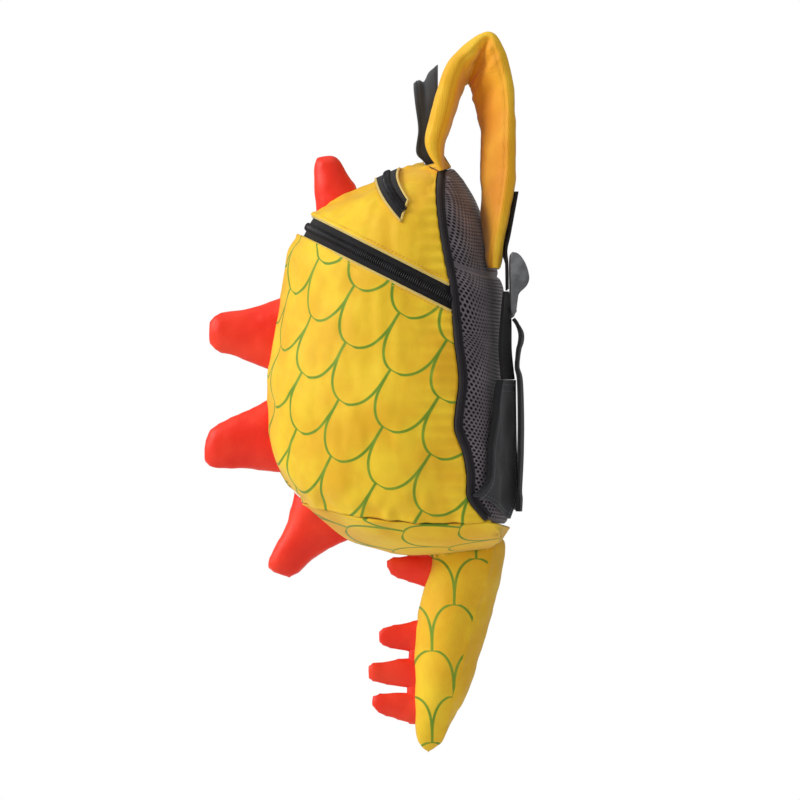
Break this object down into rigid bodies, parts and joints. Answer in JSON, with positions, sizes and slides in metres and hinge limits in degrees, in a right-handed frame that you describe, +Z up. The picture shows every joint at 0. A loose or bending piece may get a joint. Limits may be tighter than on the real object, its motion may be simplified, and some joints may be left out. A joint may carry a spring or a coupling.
{
  "type": "kids animal backpack",
  "caption": "Small rucksack shaped as a spiked reptile, with stuffed spikes, a stuffed tail, padded straps and a mesh back.",
  "frame": {"origin": "under the top of the shoulder straps, on the bag's centre plane, where the bag hangs", "axes": "+Z up, +Y from the spiked front towards the wearer's back, +X to the wearer's right"},
  "size_m": [0.2412, 0.2449, 0.5419],
  "materials": {
    "yellow_print": "woven polyester with a printed line pattern",
    "yellow_cloth": "plain woven polyester",
    "strap_yellow": "padded woven polyester",
    "orange_cloth": "stuffed smooth cloth",
    "spacer_mesh": "padded spacer mesh",
    "dark_binding": "narrow woven binding",
    "charcoal_webbing": "charcoal nylon",
    "black_webbing": "black woven webbing",
    "zip_black": "nylon coil zip",
    "buckle_grey": "moulded plastic"
  },
  "bodies": {
    "root": {"body_shell": "yellow_print", "base_panel": "yellow_print", "top_panel": "yellow_cloth", "back_pad_upper": "spacer_mesh", "back_pad_lower": "spacer_mesh", "seam_piping": "dark_binding", "main_zip_tape": "zip_black", "main_zip_coil": "zip_black", "main_zip_slider": "zip_black", "top_zip_tape": "zip_black", "top_zip_coil": "zip_black", "top_zip_slider": "zip_black", "spike_1": "orange_cloth", "spike_2": "orange_cloth", "spike_3": "orange_cloth", "spike_4": "orange_cloth", "tail": "yellow_print", "tail_spike": "orange_cloth", "tail_fin": "orange_cloth", "haul_loop": "charcoal_webbing", "shoulder_strap_right": "strap_yellow", "strap_webbing_right": "black_webbing", "ladder_lock_right": "buckle_grey", "lower_webbing_right": "black_webbing", "lower_tab_right": "charcoal_webbing", "webbing_tail_right": "black_webbing", "shoulder_strap_left": "strap_yellow", "strap_webbing_left": "black_webbing", "ladder_lock_left": "buckle_grey", "lower_webbing_left": "black_webbing", "lower_tab_left": "charcoal_webbing", "webbing_tail_left": "black_webbing"}
  },
  "joints": []
}
